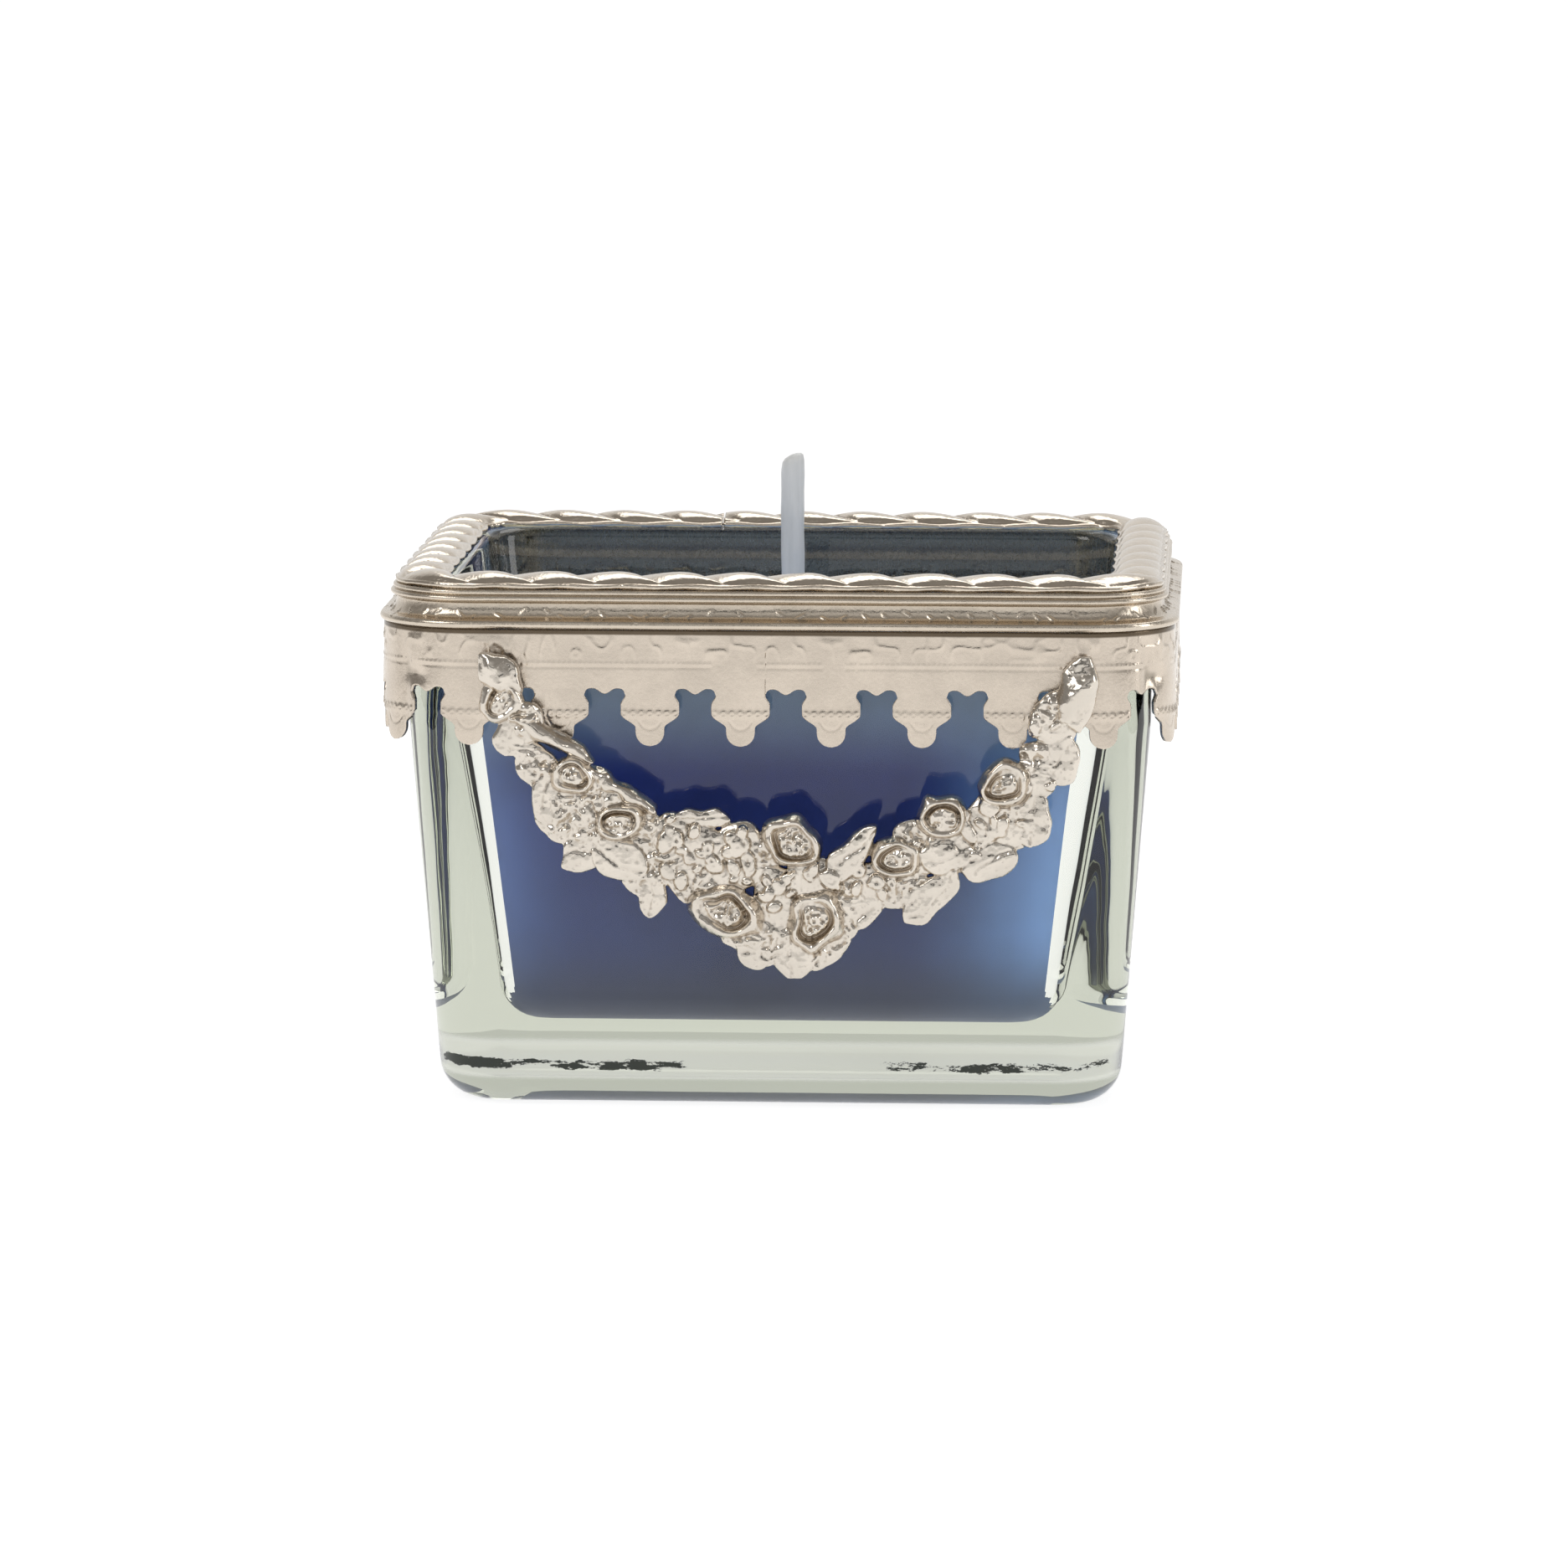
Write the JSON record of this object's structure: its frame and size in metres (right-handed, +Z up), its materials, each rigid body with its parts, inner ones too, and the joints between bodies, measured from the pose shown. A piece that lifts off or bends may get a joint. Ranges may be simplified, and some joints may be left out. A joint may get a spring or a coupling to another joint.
{
  "type": "jar candle with lift-off collar",
  "caption": "Rectangular glass cup of wax with a wick, and a lift-off silver collar with a rope rim, a tabbed skirt and a rose garland on its front.",
  "frame": {"origin": "middle of the glass cup's flat base, on the surface that it stands on", "axes": "+Z up along the wick, -Y towards the front that carries the garland, +X along the long side"},
  "size_m": [0.0962, 0.0827, 0.0767],
  "materials": {
    "pale_green_glass": "polished, slightly seedy pale green glass",
    "blue_wax": "translucent blue candle wax",
    "waxed_cotton": "smooth waxed cotton",
    "tin": "plain tinplate",
    "adhesive": "soft adhesive",
    "rope_silver": "polished warm silver",
    "moulding_silver": "polished warm silver",
    "skirt_silver": "satin warm silver, lightly engraved",
    "garland_silver": "bright cast silver",
    "solder": "dull solder"
  },
  "bodies": {
    "candle": {"glass_cup": "pale_green_glass", "wax_fill": "blue_wax", "wick": "waxed_cotton", "wick_sustainer": "tin", "wick_sticker": "adhesive"},
    "collar": {"rope_rim": "rope_silver", "moulding_band": "moulding_silver", "lambrequin_skirt": "skirt_silver", "garland": "garland_silver", "garland_solder_left": "solder", "garland_solder_right": "solder"}
  },
  "joints": [
    {"name": "collar_lift", "type": "slide", "parent": "candle", "child": "collar", "axis": [0, 0, 1], "range_m": [0, 0.065]}
  ]
}
